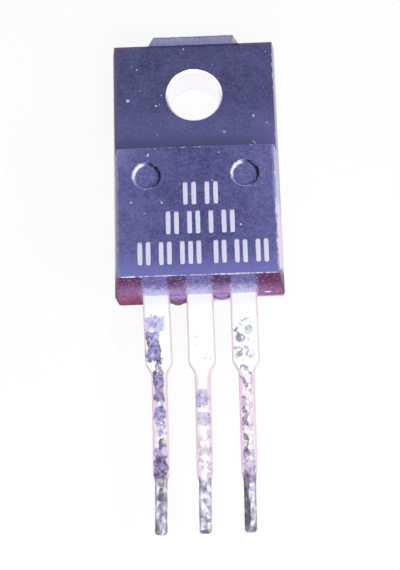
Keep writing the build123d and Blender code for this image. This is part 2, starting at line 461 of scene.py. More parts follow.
@dataclass(frozen=True)
class MouldedEpoxy:
    """Moulding compound of the body: slate on the plate, bluer on the block, maroon at the
    lead end, with dust, pits and worn edges, and with painted light and shade: pale lit side
    walls, a white glare in the hole, lit and shaded recess edges, shade under the block's
    front edge, reflections of the leads on the lead end, and light on the plate by the step."""

    body_width: float
    plate_front: float
    block_front: float
    parting: float
    lead_end: float
    tab_end: float
    step: float
    lead_pitch: float
    root_half_width: float = 0.74
    tab_half_width: float = 2.75
    hole_radius: float = 1.7
    recess_x: float = 2.85
    recess_y: float = -5.82
    recess_radius: float = 0.8
    chip_y: float = -7.6  # the bleached chip on the right wall
    chip_z: float = 2.9
    # painted highlight: a glint on the lead end
    glint_x: float = 3.95  # the bright speck on the lead end
    glint_z: float = 1.75
    plate_dark: Colour = (50, 50, 90)
    plate_light: Colour = (106, 107, 164)
    block_dark: Colour = (54, 56, 108)
    block_light: Colour = (116, 116, 178)
    block_low: Colour = (122, 122, 198)
    # painted shade: brown of the unlit left wall and the plate's left margin; the same brown runs
    # along the top edge beside the tab
    brown: Colour = (112, 88, 114)
    # painted shadow under the tab
    tab_shadow_navy: Colour = (40, 34, 100)
    plum: Colour = (112, 60, 100)
    # painted glare on the lower right of the lead end
    bleached: Colour = (255, 252, 255)
    # lilac tint: flecks and a corner tint on the block, and painted light on its right edge and in
    # the recesses
    haze_and_light: Colour = (156, 154, 214)
    chalky: Colour = (160, 162, 184)
    # painted glare: the hole's wall is painted white; the pale chip on the right wall takes the
    # same white
    bore_glare: Colour = (252, 250, 255)
    # painted highlight on the recess edges; the same white is the chalky wear over the lead end
    rim_highlight_and_chalk: Colour = (244, 242, 255)
    # painted highlight on the recess edges; the same lilac runs over the step's edge
    rim_highlight_and_lilac: Colour = (158, 156, 222)
    # painted shadow in the recesses
    recess_shadow: Colour = (6, 2, 40)
    dust: Colour = (236, 232, 250)
    # lilac of the lead end's flecks and grain, and of its painted glint
    fleck_and_glint: Colour = (232, 206, 240)
    shade: Colour = (60, 24, 60)
    flash_pale: Colour = (184, 152, 204)  # lead end, from here
    flash_dark: Colour = (128, 92, 122)
    corner_pale: Colour = (142, 104, 130)
    # wine: the end face's maroon; at its foot it is also painted shade, where the lower half tilts
    # away from the light
    wine: Colour = (150, 75, 110)
    mauve: Colour = (150, 105, 155)
    # painted shadow under the block's front edge, at the top of the lead end
    brink_shadow: Colour = (95, 40, 90)
    gap_bloom: Colour = (175, 145, 200)
    gap_brink_shadow: Colour = (75, 50, 95)
    # painted reflection of each lead on the lead end above it, darker under the block's front edge
    lead_reflection: Colour = (190, 190, 230)
    reflection_brink_shadow: Colour = (105, 100, 160)
    # painted light and reflection: the side walls are the body's dark epoxy, painted pale where the
    # light from the right and the floor's reflection wash them out
    wall_reflection_pale: Colour = (230, 230, 240)  # side walls, from here
    wall_slate: Colour = (125, 125, 160)
    lit_wall_rose: Colour = (195, 180, 200)
    lit_wall_lilac: Colour = (185, 180, 220)
    lit_wall_bright: Colour = (235, 225, 245)
    lit_wall_dusk: Colour = (165, 150, 195)

    def front_colour(self, graph: Graph) -> bpy.types.NodeSocket:
        """Slate plate and bluer block, mottled, hazier towards the edges and the leads, with
        painted light on the plate towards the step.
        """
        cloud = graph.noise(0.5, detail=3, shift=3.0)
        blotch = graph.noise(1.8, detail=5, roughness=0.65)
        grain = graph.noise(7.0, detail=4, roughness=0.65, shift=6.0)
        fine = graph.noise(16.0, detail=3, shift=9.0)
        mottle = 0.3 * cloud + 0.42 * blotch + 0.9 * grain + 0.38 * fine - 0.5
        # painted light: the plate is made lighter and bluer towards the step, in the corner at its
        # foot where shade falls
        light_near_step = (
            0.75 * graph.rise(graph.y, 0.0, self.step)
            + 0.5 * graph.rise(graph.y, self.step + 0.7, self.step + 0.05)
        )
        plate = graph.mix(0.75 * mottle + light_near_step, self.plate_dark, self.plate_light)
        off_centre = graph.rise(abs(graph.x), 0.8, 4.6)
        block = graph.mix(0.75 * mottle + 0.22 * off_centre, self.block_dark, self.block_light)
        corner = graph.rise(graph.y, self.step - 1.6, self.step) * graph.rise(graph.x, -3.4, -4.4)
        low = graph.rise(graph.y + 0.9 * blotch, -9.9, -11.5)
        block = graph.mix(0.4 * corner, block, self.haze_and_light)
        glitter = 0.3 * graph.flecks(5.0, 0.4, shift=2.0) * (0.15 + off_centre)
        block = graph.mix(glitter, block, self.haze_and_light)
        block = graph.mix(0.75 * low, block, self.block_low)
        on_block = graph.rise(graph.z, self.plate_front + 0.1, self.plate_front + 0.3)
        return graph.mix(on_block, plate, block)

    def wall_colour(self, graph: Graph, front: object) -> bpy.types.NodeSocket:
        """Side walls over the front's colour.

        The walls are the body's dark epoxy, and their colours are painted light and shade.
        The plate's wall and margins are brown on the left, painted shade of the unlit side, and its
        right wall runs from rose up to dusk. The block's left wall runs from a pale painted
        reflection of the floor up to slate, and its right one from rose up to lilac, lit brighter
        towards the leads, with one pale chip. A painted highlight runs along the block's right
        front edge, and a painted shadow along the top edge under the tab.
        """
        on_block = graph.rise(graph.y, self.step + 0.2, self.step - 0.2)
        half = self.body_width / 2
        height = graph.z / self.block_front
        grain = graph.noise(5.0, detail=5, roughness=0.7, shift=5.0, stretch=(1.0, 0.4, 1.0))
        cloud = graph.noise(1.1, detail=4, shift=4.0)
        drifted = graph.y + 2.0 * (cloud - 0.5)
        # height up the wall, made ragged by grain; the walls' painted light and reflection change
        # along it
        worn = height + 0.25 * (grain - 0.5)
        # painted reflection: the block's left wall is pale low down, where it mirrors the floor,
        # and slate near the front
        left_block = graph.mix(graph.rise(worn, 0.45, 1.0), self.wall_reflection_pale, self.wall_slate)
        # painted light: the right walls run from rose to lilac, brighter towards the leads, where
        # the light from the right falls
        upper = graph.mix(graph.rise(drifted, -5.6, -8.6), self.lit_wall_lilac, self.lit_wall_bright)
        right_block = graph.mix(graph.rise(worn, 0.0, 0.6), self.lit_wall_rose, upper)
        right_plate = graph.mix(graph.rise(worn, 0.35, 0.65), self.lit_wall_rose, self.lit_wall_dusk)
        left = graph.mix(graph.rise(drifted, 1.0, self.step - 1.4), self.brown, left_block)
        right = graph.mix(
            graph.rise(drifted, self.step + 1.2, self.step - 1.2), right_plate, right_block
        )
        colour = graph.mix(graph.rise(graph.facing_x, -0.35, -0.8), front, left)
        colour = graph.mix(graph.rise(graph.facing_x, 0.35, 0.8), colour, right)
        fray = 0.12 * (grain - 0.5)
        # painted shade: the plate's left margin takes the brown of the unlit left wall
        left_margin = (
            0.8 * graph.rise(graph.x + fray, -half + 0.42, -half + 0.2)
            * graph.rise(graph.y, self.step - 0.2, self.step + 0.2)
            * graph.rise(graph.facing_z, 0.3, 0.7)
        )
        # painted shadow: a dark blue line along the top edge under the tab, with brown beside it
        at_top = graph.rise(graph.y + fray, self.tab_end - 0.42, self.tab_end - 0.22)
        over_tab = graph.rise(abs(graph.x), self.tab_half_width + 0.1, self.tab_half_width)
        margin = graph.mix(over_tab, self.brown, self.tab_shadow_navy)
        colour = graph.mix(left_margin, colour, self.brown)
        at_top = at_top * graph.rise(graph.facing_z, 0.3, 0.7)
        colour = graph.mix(0.85 * at_top, colour, margin)
        # painted highlight: a lilac tint along the block's right front edge, where the light from
        # the right catches it, stronger towards the step
        edge = half - 0.38 + 1.5 * fray
        edge_highlight = (
            graph.rise(graph.x, edge - 0.2, edge) * graph.rise(graph.facing_z, 0.5, 0.9) * on_block
            * (0.3 + 0.6 * graph.rise(graph.y, -9.0, -7.0))
        )
        colour = graph.mix(edge_highlight, colour, self.haze_and_light)
        left_edge = (
            0.75 * graph.rise(graph.x + fray, -half + 0.52, -half + 0.36)
            * graph.rise(graph.facing_z, 0.5, 0.9) * on_block
        )
        colour = graph.mix(left_edge, colour, self.chalky)
        chip = graph.spot(
            2.8 * (graph.y - self.chip_y), 3.2 * (graph.z - self.chip_z), 2.4 * (grain - 0.5)
        )
        chip = graph.rise(chip, 1.2, 0.7) * graph.rise(graph.facing_x, 0.5, 0.8)
        return graph.mix(chip, colour, self.bore_glare)

    def end_colour(self, graph: Graph) -> bpy.types.NodeSocket:
        """Lead end: maroon beside the leads and violet between them, with a lilac bloom
        towards the leads, a painted reflection of each lead above it, painted shade under the
        block's front edge, a painted glint, and white painted glare on the lower right."""
        grain = graph.noise(8.0, detail=6, roughness=0.75, shift=2.0)
        blotch = graph.noise(3.0, detail=4, shift=7.0)
        wobble = 0.22 * (grain - 0.5) + 0.16 * (blotch - 0.5)
        height = graph.z / self.block_front + wobble
        # painted shade: the lead end runs from wine at its foot up to shadow under the block's
        # front edge, which reaches lower on the right
        shaded = height + 0.12 * graph.rise(graph.x, -0.5, 0.5)
        colour = graph.ramp(shaded, (0.2, self.wine), (0.55, self.mauve), (0.85, self.brink_shadow))
        gap = graph.mix(graph.rise(height, 0.4, 0.85), self.gap_bloom, self.gap_brink_shadow)
        # painted reflection: a blue-lilac strip above each lead, its mirror image, darker under the
        # block's front edge
        reflected_band = graph.mix(graph.rise(height, 0.45, 0.8), self.lead_reflection, self.reflection_brink_shadow)
        across = abs(graph.x)
        sway = 0.2 * (blotch - 0.5)
        beside = graph.rise(across, self.lead_pitch + 1.0, self.lead_pitch + 0.7)
        colour = graph.mix(beside, colour, gap)
        nearest = graph.math("MINIMUM", across, abs(across - self.lead_pitch))
        on_lead = graph.rise(
            nearest + sway, self.root_half_width + 0.08, self.root_half_width - 0.08
        )
        colour = graph.mix(on_lead, colour, reflected_band)
        beyond = graph.rise(graph.y, self.lead_end - 0.02, self.lead_end - 0.4)
        flash = graph.mix(beyond, self.flash_pale, self.flash_dark)
        past = graph.rise(graph.y, self.lead_end - 0.01, self.lead_end - 0.05)
        colour = graph.mix(past, colour, flash)
        dust = graph.noise(7.0, detail=4, roughness=0.65, shift=3.0)
        colour = graph.mix(0.3 * graph.rise(dust, 0.55, 0.95), colour, self.fleck_and_glint)
        colour = graph.mix(0.35 * graph.rise(dust, 0.5, 0.1), colour, self.shade)
        # painted glare: the lower right of the lead end is painted white
        colour = graph.mix(self.painted_glare(graph), colour, self.bleached)
        # painted highlight: a glint at the right of the lead end, among the flecks
        glint = graph.spot(4.5 * (graph.x - self.glint_x), 9.0 * (graph.z - self.glint_z))
        speckle = graph.math("MAXIMUM", graph.flecks(4.0, 0.18, shift=4.0), graph.flecks(8.0, 0.2))
        speckle = graph.math("MAXIMUM", 0.5 * speckle, graph.rise(glint, 1.1, 0.7))
        return graph.mix(speckle, colour, self.fleck_and_glint)

    def painted_glare(self, graph: Graph) -> Value:
        """1 where painted glare whitens the lower right of the lead end."""
        foot = 0.2 + 0.6 * graph.rise(graph.x, 1.6, 3.0)
        return (
            graph.rise(graph.x, 0.4, 1.0) * graph.rise(graph.z, 1.4, foot)
            * graph.rise(graph.facing_y, 0.0, -0.15) * graph.rise(graph.y, -8.0, -9.0)
        )

    def recess_light_and_shade(self, graph: Graph, colour: object) -> bpy.types.NodeSocket:
        """Recess edges, painted bright with highlight on the left and dark with shadow on the
        right, with painted light on their floors.
        """
        side = graph.math("SIGN", graph.x)
        across = graph.x - self.recess_x * side
        down = graph.y - self.recess_y
        radius = graph.spot(across, down)
        lean = (0.98 * across + 0.2 * down) / self.recess_radius
        rag = 0.1 * (graph.noise(6.0, detail=4, shift=7.0) - 0.5)
        ring = graph.between(
            radius + rag, self.recess_radius - 0.1, self.recess_radius + 0.04, 0.04
        )
        on_front = graph.rise(graph.z, self.plate_front + 0.5, self.plate_front + 0.6)
        # painted highlight: lilac on the lower left of each recess edge
        lilac = 0.9 * ring * on_front * graph.rise(lean, 0.3, 0.05)
        colour = graph.mix(lilac, colour, self.rim_highlight_and_lilac)
        upper = graph.rise(down, -0.55, 0.1)
        # painted highlight: white on the left and top of each recess edge, where the light from the
        # right falls on the wall
        bright = ring * on_front * upper * graph.rise(lean, 0.12, -0.15)
        colour = graph.mix(bright, colour, self.rim_highlight_and_chalk)
        # painted shadow: a dark arc inside the right of each recess, on the wall turned from the
        # light
        inner = self.recess_radius + 0.12 - 0.32 * lean + rag
        shadow_crescent = (
            graph.rise(radius, self.recess_radius + 0.05, self.recess_radius + 0.02)
            * graph.rise(radius - inner, -0.03, 0.03) * graph.rise(lean, 0.22, 0.42) * on_front
        )
        colour = graph.mix(shadow_crescent, colour, self.recess_shadow)
        # painted light: a lilac tint lightens the floor of each recess
        floor = (
            0.2 * graph.rise(radius, self.recess_radius - 0.05, self.recess_radius - 0.2)
            * graph.rise(graph.z, self.block_front - 0.05, self.block_front - 0.1) * on_front
            * graph.rise(graph.noise(4.0, detail=3, shift=2.0), 0.4, 0.7)
        )
        return graph.mix(floor, colour, self.haze_and_light)

    def material(self) -> bpy.types.Material:
        """Builds the whole finish.

        Returns:
            The material of the moulded body.
        """
        graph = Graph("moulded_epoxy")
        colour = self.recess_light_and_shade(graph, self.wall_colour(graph, self.front_colour(graph)))
        end = self.end_mask(graph)
        colour = graph.mix(end, colour, self.end_colour(graph))
        colour = self.brinks(graph, colour)
        corner = self.corner_mask(graph)
        plum = graph.mix(graph.rise(graph.x, -1.0, 1.0), self.corner_pale, self.plum)
        colour = graph.mix(corner, colour, plum)
        # painted glare: the hole is painted white, and made mirror-like, smoother and free of dust
        bore_glare = graph.rise(
            graph.spot(graph.x, graph.y), self.hole_radius + 0.005, self.hole_radius - 0.01
        )
        colour = graph.mix(bore_glare, colour, self.bore_glare)
        dust = graph.math("MAXIMUM", graph.flecks(1.2, 0.08), graph.flecks(3.5, 0.12, shift=8.0))
        dust = dust * (1.0 - bore_glare)
        colour = graph.mix(0.3 * dust, colour, self.dust)
        grain = graph.noise(14.0, detail=5, roughness=0.7, shift=1.0)
        pits = graph.flecks(6.0, 0.3, shift=5.0)
        right = graph.rise(graph.facing_x, 0.35, 0.6)
        painted_glare = self.painted_glare(graph)
        rough = (
            0.42 + 0.14 * grain + 0.4 * end - 0.12 * right + 0.5 * corner - 0.3 * bore_glare
            - 0.6 * painted_glare
        )
        # painted reflection: the painted glare in the hole and on the lower right of the lead end
        # is made mirror-like
        return graph.surface(
            colour, rough, metallic=graph.math("MAXIMUM", bore_glare, painted_glare),
            relief=0.5 * grain - 0.6 * pits + dust, depth=0.005, Specular_IOR_Level=0.25,
        )

    def end_mask(self, graph: Graph) -> Value:
        """1 on the lead end and on the flash beyond it."""
        on_end = graph.rise(graph.facing_y, -0.25, -0.6) * graph.rise(graph.y, -8.0, -9.0)
        beyond = graph.rise(graph.y, self.lead_end + 0.03, self.lead_end + 0.01)
        return graph.math("MAXIMUM", on_end, beyond)

    def brinks(self, graph: Graph, colour: object) -> bpy.types.NodeSocket:
        """Edges of the block's front: lilac over the step and chalky over the lead end."""
        over_step = (
            0.8 * graph.rise(graph.facing_y, 0.15, 0.35)
            * graph.rise(graph.z, self.block_front - 0.12, self.block_front - 0.06)
            * graph.rise(graph.noise(3.0, detail=4, shift=5.0), 0.2, 0.75)
        )
        over_end = (
            0.8 * graph.rise(graph.facing_y, -0.2, -0.4)
            * graph.rise(graph.facing_y, -0.97, -0.8)
            * graph.rise(graph.z, self.block_front - 0.12, self.block_front - 0.08)
            * graph.rise(graph.noise(5.0, detail=4, shift=8.0), 0.35, 0.6)
        )
        colour = graph.mix(over_step, colour, self.rim_highlight_and_lilac)
        return graph.mix(over_end, colour, self.rim_highlight_and_chalk)

    def corner_mask(self, graph: Graph) -> Value:
        """1 where the lead end's plum runs round onto the side walls, up to a ragged line."""
        ragged = 0.7 * (graph.noise(2.2, detail=4, shift=6.0) - 0.5)
        line = graph.y + 0.32 * (graph.z - self.parting) + ragged
        return (
            0.85 * graph.rise(abs(graph.facing_x), 0.35, 0.6)
            * graph.rise(line, self.lead_end + 1.75, self.lead_end + 1.05)
            * graph.rise(graph.z, 0.4, 1.2)
        )


@dataclass(frozen=True)
class TinnedCopper:
    """Tin plating on copper: bright and clean, with mottled blue to plum tarnish where the
    mesh says so, dull solder at the tips with painted shade along their sides, and a pink line of
    copper at the stamped edges."""

    clean: Colour = (254, 254, 249)
    copper: Colour = (236, 214, 224)
    green: Colour = (226, 230, 220)
    # pink of the pins' margins, and painted light on the tab's right corner slope
    blush: Colour = (240, 208, 232)
    squiggle: Colour = (150, 162, 172)
    faded_squiggle: Colour = (186, 172, 192)
    # painted shade along the rounded sides of the dipped tips
    solder_side_shade: Colour = (140, 138, 150)
    burnt_pale: Colour = (150, 146, 168)
    burnt: Colour = (84, 76, 88)
    blue_film: Palette = (
        (0.0, (200, 199, 242)), (0.2, (168, 167, 228)), (0.42, (144, 141, 208)),
        (0.65, (120, 108, 170)), (0.85, (98, 80, 138)), (1.0, (78, 58, 106)),
    )
    purple_film: Palette = (
        (0.0, (218, 202, 226)), (0.3, (192, 174, 208)), (0.6, (148, 128, 166)),
        (1.0, (104, 80, 120)),
    )
    solder: Palette = (
        (0.0, (96, 96, 112)), (0.3, (136, 136, 154)), (0.55, (176, 176, 198)),
        (0.75, (206, 206, 226)), (1.0, (234, 234, 246)),
    )

    def material(self) -> bpy.types.Material:
        """Builds the finish from the values that the mesh carries.

        Returns:
            The material of the leads and the tab.
        """
        graph = Graph("tinned_copper")
        cover, tone, dull, edge, blush, calm, mauve, crazed = map(
            graph.reading,
            ("cover", "tone", "dull", "edge", "blush", "calm", "mauve", "crazed"),
        )
        blotch = graph.noise(3.0, detail=4, roughness=0.55, stretch=(1.0, 0.75, 1.0))
        grain = graph.noise(7.0, detail=4, roughness=0.7, shift=6.0, stretch=(1.0, 0.8, 1.0))
        fine = graph.noise(15.0, detail=3, shift=2.0)
        ragged = 1.15 - 0.5 * cover
        field = cover + (blotch - 0.5) * ragged + 0.5 * (grain - 0.5) * ragged
        covered = graph.rise(field, 0.3, 0.76) * graph.rise(cover, 0.05, 0.2)
        rim = covered * graph.rise(field, 0.86, 0.56)
        veins = graph.noise(2.3, detail=2, roughness=0.5, shift=3.0)
        lines = graph.rise(abs(veins - 0.5), 0.2, 0.03) * graph.rise(blotch, 0.3, 0.48)
        wobble = 0.3 * (grain - 0.5)
        bubbles = graph.rings(1.8, 0.38, 0.12, wobble, shift=5.0)
        ridge = graph.math("MAXIMUM", lines, bubbles) * crazed
        shade = graph.noise(5.0, detail=4, roughness=0.6, shift=2.0, stretch=(1.0, 0.7, 1.0))
        swing = 1.15 - 0.9 * calm
        depth = tone + (shade - 0.5) * swing + 0.3 * (fine - 0.5) + 0.3 * rim * tone
        burnt = graph.mix(graph.rise(depth, 0.5, 1.0), self.burnt_pale, self.burnt)
        film = graph.mix(
            mauve, graph.ramp(depth, *self.blue_film), graph.ramp(depth, *self.purple_film)
        )
        film = graph.mix(dull * graph.rise(tone, 0.55, 0.7), film, burnt)
        crystal = graph.noise(2.8, detail=4, roughness=0.6, shift=4.0, stretch=(1.0, 0.6, 1.0))
        brightness = 1.7 * (crystal - 0.5) + 0.3 * (fine - 0.5) - 0.6 * tone + 0.66
        solder = graph.ramp(brightness, *self.solder)
        near = graph.mix(graph.rise(edge, 0.15, 0.5), self.clean, self.green)
        line = graph.mix(graph.rise(edge, 0.5, 0.8), near, self.copper)
        line = graph.mix(0.9 * blush, line, self.blush)
        vein = graph.mix(1.3 * mauve, self.squiggle, self.faded_squiggle)
        colour = graph.mix(ridge, line, vein)
        colour = graph.mix(0.95 * dull, colour, solder)
        opacity = covered * (0.8 + 0.2 * depth)
        colour = graph.mix(opacity, colour, film)
        # painted shade: the dipped tips darken in blotches towards their rounded sides
        border = 0.8 * dull * graph.rise(edge, 0.4, 0.9) * graph.rise(blotch, 0.35, 0.6)
        colour = graph.mix(border, colour, self.solder_side_shade)
        rough = 0.4 + 0.2 * covered + 0.08 * dull + 0.08 * grain
        metal = 0.36 - 0.26 * covered - 0.06 * dull - 0.6 * blush - 0.4 * ridge - 0.3 * edge
        relief = 0.5 * grain + 0.5 * covered
        return graph.surface(colour, rough, metallic=metal, relief=relief, depth=0.004)


@dataclass(frozen=True)
class MarkingInk:
    """Pale print on the block, thin and a little worn."""

    ink: Colour = (226, 222, 250)
    thin_ink: Colour = (176, 176, 218)

    def material(self) -> bpy.types.Material:
        """Builds the ink's finish."""
        graph = Graph("marking_ink")
        wear = graph.rise(graph.noise(7.0, detail=5, roughness=0.7), 0.72, 1.0)
        colour = graph.mix(0.7 * wear, self.ink, self.thin_ink)
        grain = graph.noise(18.0, detail=3)
        return graph.surface(colour, 0.6, relief=grain, depth=0.003)


@dataclass(frozen=True)
class WornEpoxy:
    """Chalky moulding compound on broken edges, and dust."""

    bright: Colour = (228, 224, 250)
    faded: Colour = (150, 146, 204)

    def material(self) -> bpy.types.Material:
        """Builds the finish of worn edges."""
        graph = Graph("worn_epoxy")
        patch = graph.noise(3.0, detail=5, roughness=0.7)
        colour = graph.mix(graph.rise(patch, 0.2, 0.8), self.faded, self.bright)
        return graph.surface(colour, 0.55, relief=graph.noise(20.0), depth=0.003)


@dataclass(frozen=True)
class HiddenFinish:
    """Finish of a piece that the body encloses: a base colour with drawn or fired grain."""

    name: str
    colour: Colour
    shade: Colour
    roughness: float
    metallic: float
    stretch: tuple[float, float, float] = (1.0, 1.0, 1.0)

    def material(self) -> bpy.types.Material:
        """Builds the finish."""
        graph = Graph(self.name)
        grain = graph.noise(9.0, detail=5, stretch=self.stretch)
        colour = graph.mix(grain, self.colour, self.shade)
        return graph.surface(
            colour, self.roughness, metallic=self.metallic, relief=grain, depth=0.003
        )


HIDDEN_FINISHES = {
    "silicon_die": HiddenFinish(
        "silicon", colour=(58, 62, 84), shade=(84, 92, 120), roughness=0.25, metallic=0.3
    ),
    "die_solder": HiddenFinish(
        "solder", colour=(150, 150, 158), shade=(184, 184, 192), roughness=0.4, metallic=0.9
    ),
}
DRAWN_ALUMINIUM = HiddenFinish(
    "aluminium_wire", colour=(196, 198, 204), shade=(222, 224, 230), roughness=0.3,
    metallic=0.95, stretch=(1.0, 0.2, 1.0),
)


@dataclass(frozen=True)
class Patch:
    """One tarnished spot of a lead, by distances from the body's end and from its centre
    line, positive to the right."""

    start: float
    stop: float
    left: float
    right: float
    cover: float  # 0 bare to 1 covered
    tone: float  # 0 pale blue to 1 dark plum
    lean: float = 0.0  # sideways drift for each millimetre along
    crazed: float = 0.0  # strength of a net of fine grey lines

    def weight(self, along: np.ndarray, aside: np.ndarray) -> np.ndarray:
        """Rounded spot: 1 inside, falling to 0 across the border |u|^3 + |v|^3 = 1, where u
        and v are the distances from the middle as shares of half the length and breadth."""
        middle, centre = (self.start + self.stop) / 2, (self.left + self.right) / 2
        u = 2 * (along - middle) / (self.stop - self.start)
        v = 2 * (aside - centre - self.lean * (along - middle)) / (self.right - self.left)
        return smooth(1.5 - np.cbrt(np.abs(u) ** 3 + np.abs(v) ** 3), 0.0, 0.8)


BASE_TARNISH = (
    Patch(1.2, 2.1, -0.66, 0.35, 0.85, 0.05), Patch(2.1, 3.0, -0.68, 0.06, 0.8, 0.42),
    Patch(2.1, 3.0, -0.7, -0.5, 0.8, 0.8), Patch(2.9, 3.9, -0.64, 0.15, 0.9, 0.66),
    Patch(3.7, 4.1, -0.05, 0.32, 0.6, 0.85), Patch(3.9, 4.5, -0.3, 0.2, 0.62, 0.3),
    Patch(4.3, 4.6, -0.32, -0.05, 0.7, 0.8), Patch(4.4, 5.5, -0.36, -0.14, 0.85, 0.75),
    Patch(4.4, 5.5, -0.12, 0.3, 0.8, 0.5), Patch(5.4, 6.3, -0.36, 0.28, 0.8, 0.5),
    Patch(6.1, 6.8, -0.26, 0.28, 0.64, 0.5), Patch(6.6, 7.4, -0.34, 0.32, 0.85, 0.65),
    Patch(7.2, 8.3, -0.24, 0.3, 0.66, 0.28), Patch(7.9, 8.6, 0.08, 0.34, 0.65, 0.6),
    Patch(8.4, 9.0, -0.18, 0.35, 0.65, 0.75), Patch(8.9, 9.4, -0.33, 0.35, 0.8, 0.15),
    Patch(9.2, 10.7, -0.36, 0.36, 0.85, 0.8), Patch(11.2, 12.0, -0.14, 0.16, 0.6, 0.9),
)

COLLECTOR_TARNISH = (
    Patch(2.4, 2.6, -0.35, -0.2, 0.44, 0.2), Patch(3.0, 3.2, -0.35, -0.2, 0.44, 0.2),
    Patch(3.7, 3.9, 0.06, 0.22, 0.44, 0.2), Patch(3.8, 4.0, 0.38, 0.52, 0.44, 0.2),
    Patch(5.6, 6.6, -0.42, 0.3, 0.95, 0.12), Patch(6.0, 6.6, -0.4, -0.14, 0.8, 0.45),
    Patch(6.6, 6.8, -0.04, 0.16, 0.6, 0.5), Patch(7.0, 7.8, -0.35, 0.37, 0.9, 0.12),
    Patch(7.0, 7.7, 0.1, 0.37, 0.7, 0.45), Patch(8.5, 10.4, -0.36, 0.0, 0.32, 0.25, crazed=0.65),
    Patch(8.2, 10.6, 0.02, 0.4, 0.36, 0.25, crazed=0.7), Patch(12.4, 13.0, -0.4, -0.1, 0.6, 0.6),
    Patch(13.0, 13.3, 0.05, 0.3, 0.5, 0.6), Patch(13.6, 13.9, -0.34, 0.34, 0.62, 0.72),
)

EMITTER_TARNISH = (
    Patch(1.5, 2.5, -0.3, 0.36, 0.16, 0.3, crazed=0.8), Patch(2.0, 2.4, -0.72, -0.44, 0.46, 0.4),
    Patch(2.4, 2.8, -0.64, -0.34, 0.48, 0.5), Patch(2.2, 3.2, -0.55, 0.15, 0.16, 0.1, crazed=1.0),
    Patch(3.1, 4.0, -0.55, 0.15, 0.2, 0.1, crazed=1.0), Patch(3.1, 3.5, -0.7, -0.5, 0.5, 0.4),
    Patch(3.3, 3.9, -0.1, 0.5, 0.2, 0.3, crazed=0.5), Patch(4.2, 4.7, -0.4, 0.12, 0.5, 0.5),
    Patch(4.9, 5.6, -0.3, -0.02, 0.72, 0.5, 0.5), Patch(5.6, 6.1, -0.14, 0.11, 0.5, 0.4),
    Patch(6.1, 7.3, -0.34, 0.0, 0.66, 0.45), Patch(6.1, 7.3, -0.02, 0.26, 0.42, 0.2, crazed=0.45),
    Patch(7.2, 8.2, -0.38, 0.0, 0.7, 0.6), Patch(8.4, 9.2, -0.3, 0.0, 0.66, 0.6),
    Patch(4.6, 6.2, -0.1, 0.3, 0.3, 0.4, crazed=0.45),
    Patch(7.2, 9.0, -0.02, 0.28, 0.24, 0.4, crazed=0.45), Patch(9.1, 9.7, -0.33, 0.07, 0.8, 0.55),
    Patch(9.1, 9.7, 0.03, 0.31, 0.66, 0.15), Patch(9.6, 10.6, -0.34, 0.33, 0.8, 0.2),
    Patch(10.2, 11.1, -0.34, 0.34, 0.8, 0.5), Patch(10.2, 12.4, -0.38, -0.07, 0.85, 1.0),
    Patch(11.9, 13.5, -0.38, 0.02, 0.85, 1.0), Patch(13.5, 13.9, -0.34, 0.34, 0.62, 0.7),
)


